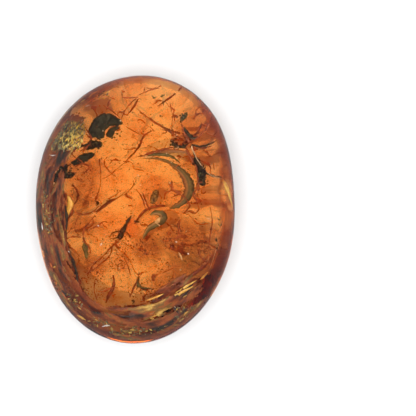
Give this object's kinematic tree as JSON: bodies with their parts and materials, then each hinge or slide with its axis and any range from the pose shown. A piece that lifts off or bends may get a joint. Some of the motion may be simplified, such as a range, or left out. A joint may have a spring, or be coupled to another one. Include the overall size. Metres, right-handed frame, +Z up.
{
  "type": "amber with inclusions",
  "caption": "Clear polished amber pebble with bark, leaves, stalks, a seed husk, soil and a small insect sealed inside, flat underneath.",
  "frame": {"origin": "middle of the outline's box, on the plane of the flat base", "axes": "+Z up from the flat base, +Y along the stone's length towards its upper end, +X to the right seen from above"},
  "size_m": [0.0274, 0.037, 0.0155],
  "materials": {
    "amber": "clear, deep orange, polished, darker red-brown towards the rim",
    "bark": "matt green-black, charred-looking",
    "soil": "crumbly, matt, near black",
    "leaf": "olive-grey to brown, dried leaf skin",
    "husk": "mottled brown seed skin",
    "stalk": "red-brown fibres",
    "insect": "dark brown-black, softly shining"
  },
  "bodies": {
    "root": {"amber_top": "amber", "amber_base": "amber", "bark_flake": "bark", "bark_hook": "bark", "bark_splinter": "bark", "soil_clump": "soil", "grain_cluster": "soil", "moss_tuft": "soil", "leaf_curl": "leaf", "leaf_tip": "leaf", "leaf_sliver": "leaf", "needle_leaf": "leaf", "seed_husk": "husk", "leaf_stem": "stalk", "stalk_left": "stalk", "stalk_branch": "stalk", "stalk_long": "stalk", "blade_left": "stalk", "blade_right": "stalk", "blade_cross": "stalk", "blade_low": "stalk", "root_thread": "stalk", "bract": "stalk", "strand_left": "stalk", "strand_bent": "stalk", "branch_right": "stalk", "branch_arm": "stalk", "twig_short": "stalk", "twig_long": "stalk", "insect": "insect"}
  },
  "joints": []
}
